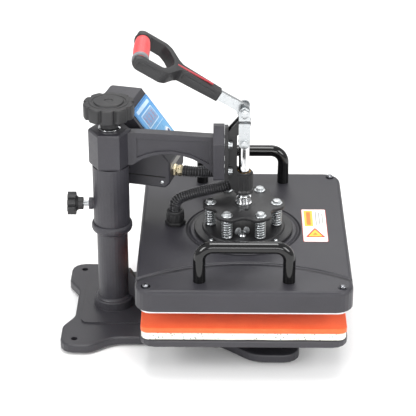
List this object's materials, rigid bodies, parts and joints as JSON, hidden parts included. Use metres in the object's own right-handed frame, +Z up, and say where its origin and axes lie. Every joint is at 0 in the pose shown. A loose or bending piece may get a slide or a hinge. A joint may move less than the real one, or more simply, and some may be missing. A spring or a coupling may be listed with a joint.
{
  "type": "swing-away heat press",
  "caption": "Bench heat press whose head swings on a column and is pressed down by a toggle lever onto a padded flat bed.",
  "frame": {"origin": "centre of the bounding box in plan, at the bench that the rubber feet stand on", "axes": "+Z up, +X towards the front of the machine (column at the back, head in front), +Y to the side that carries the control box"},
  "size_m": [0.432, 0.392, 0.4512],
  "materials": {
    "dark_paint": "fine-texture charcoal powder coat",
    "coated_plate": "cast plate under charcoal powder coat",
    "black_paint": "black powder coat",
    "black_plastic": "moulded black plastic",
    "box_shell": "charcoal textured housing",
    "gloss_black": "gloss black enamel",
    "zinc": "bright zinc plate",
    "chrome": "polished chrome",
    "aluminium": "machined",
    "bronze": "sintered bronze",
    "nickel": "nickel-plated brass",
    "rubber": "black rubber",
    "felt": "pressed speckled felt",
    "silicone": "orange silicone foam sheet",
    "insulation": "mineral fibre board",
    "red_rubber": "red rubber sleeve",
    "panel": "blue membrane panel",
    "white_key": "white key cap",
    "red_plastic": "red rocker"
  },
  "bodies": {
    "base": {"base_plate": "dark_paint", "rubber_foot_1": "rubber", "rubber_foot_2": "rubber", "rubber_foot_3": "rubber", "rubber_foot_4": "rubber", "post": "dark_paint", "platen_support": "dark_paint", "lower_platen": "coated_plate", "felt_pad": "felt", "silicone_mat": "silicone"},
    "swivel": {"lift_nut": "bronze"},
    "arm": {"swivel_sleeve": "dark_paint", "sleeve_collar": "dark_paint", "arm_casting": "dark_paint", "toggle_bracket": "black_paint", "rod_bush": "bronze", "fulcrum_pin": "zinc", "control_box": "box_shell", "control_panel": "panel", "box_gland": "nickel", "mains_inlet": "black_plastic", "box_mount": "black_paint"},
    "pressure_hand_screw": {"pressure_knob": "black_plastic", "pressure_screw": "zinc"},
    "lock_hand_screw": {"lock_knob": "black_plastic", "lock_screw": "zinc"},
    "lever": {"lever_bar": "zinc", "link_bolt": "zinc", "lever_handle": "black_plastic", "red_grip": "red_rubber"},
    "links": {"link_near": "zinc", "link_far": "zinc"},
    "head": {"press_rod": "chrome", "rod_pin": "zinc", "rod_collar": "chrome", "pressure_plate": "black_paint"},
    "platen": {"head_cover": "dark_paint", "mounting_disc": "black_paint", "heating_platen": "aluminium", "insulation_board": "insulation", "handle_near": "gloss_black", "handle_far": "gloss_black", "cover_gland": "black_plastic", "conduit": "black_plastic", "spring_1": "zinc", "spring_2": "zinc", "spring_3": "zinc", "spring_4": "zinc", "spring_5": "zinc", "spring_6": "zinc", "spring_bolt_1": "zinc", "spring_bolt_2": "zinc", "spring_bolt_3": "zinc", "spring_bolt_4": "zinc", "spring_bolt_5": "zinc", "spring_bolt_6": "zinc"},
    "set_button": {"button_set": "white_key"},
    "up_button": {"button_up": "white_key"},
    "down_button": {"button_down": "white_key"},
    "switch_rocker": {"power_switch": "red_plastic"}
  },
  "joints": [
    {"name": "swing", "type": "hinge", "parent": "base", "child": "swivel", "pos_m": [-0.141, 0, 0.244], "axis": [0, 0, 1], "continuous": true},
    {"name": "arm_height", "type": "slide", "parent": "swivel", "child": "arm", "axis": [0, 0, 1], "range_m": [0, 0.01]},
    {"name": "pressure_knob_turn", "type": "hinge", "parent": "arm", "child": "pressure_hand_screw", "pos_m": [-0.141, 0, 0.35], "axis": [0, 0, 1], "range_deg": [0, 1440]},
    {"name": "lock_knob_turn", "type": "hinge", "parent": "arm", "child": "lock_hand_screw", "pos_m": [-0.141, 0, 0.191], "axis": [-1, 0, 0], "range_deg": [0, 540]},
    {"name": "lever_hinge", "type": "hinge", "parent": "arm", "child": "lever", "pos_m": [0.059, 0, 0.328], "axis": [0, 1, 0], "range_deg": [0, 115]},
    {"name": "link_hinge", "type": "hinge", "parent": "lever", "child": "links", "pos_m": [0.059, 0, 0.347], "axis": [0, 1, 0], "range_deg": [-96, 0]},
    {"name": "head_slide", "type": "slide", "parent": "arm", "child": "head", "axis": [0, 0, -1], "range_m": [0, 0.0241]},
    {"name": "platen_float", "type": "slide", "parent": "head", "child": "platen", "axis": [0, 0, 1], "range_m": [0, 0.004], "stiffness_N_per_m": 24000, "springref_m": -0.004, "deforming": ["spring_1", "spring_2", "spring_3", "spring_4", "spring_5", "spring_6"]},
    {"name": "set_button_press", "type": "slide", "parent": "arm", "child": "set_button", "axis": [-0.7683, 0.1915, -0.6108], "range_m": [0, 0.0012], "stiffness_N_per_m": 400},
    {"name": "up_button_press", "type": "slide", "parent": "arm", "child": "up_button", "axis": [-0.7683, 0.1915, -0.6108], "range_m": [0, 0.0012], "stiffness_N_per_m": 400},
    {"name": "down_button_press", "type": "slide", "parent": "arm", "child": "down_button", "axis": [-0.7683, 0.1915, -0.6108], "range_m": [0, 0.0012], "stiffness_N_per_m": 400},
    {"name": "power_switch_rock", "type": "hinge", "parent": "arm", "child": "switch_rocker", "pos_m": [-0.16066, 0.07008, 0.234], "axis": [0, 0, 1], "range_deg": [-6, 6]}
  ],
  "couplings": [
    {"joint": "pressure_knob_turn", "follows": "arm_height", "rad_per_m": 2513.3},
    {"joint": "link_hinge", "follows": "lever_hinge", "ratio": -0.82483},
    {"joint": "head_slide", "follows": "lever_hinge", "m_per_rad": 0.011957}
  ]
}
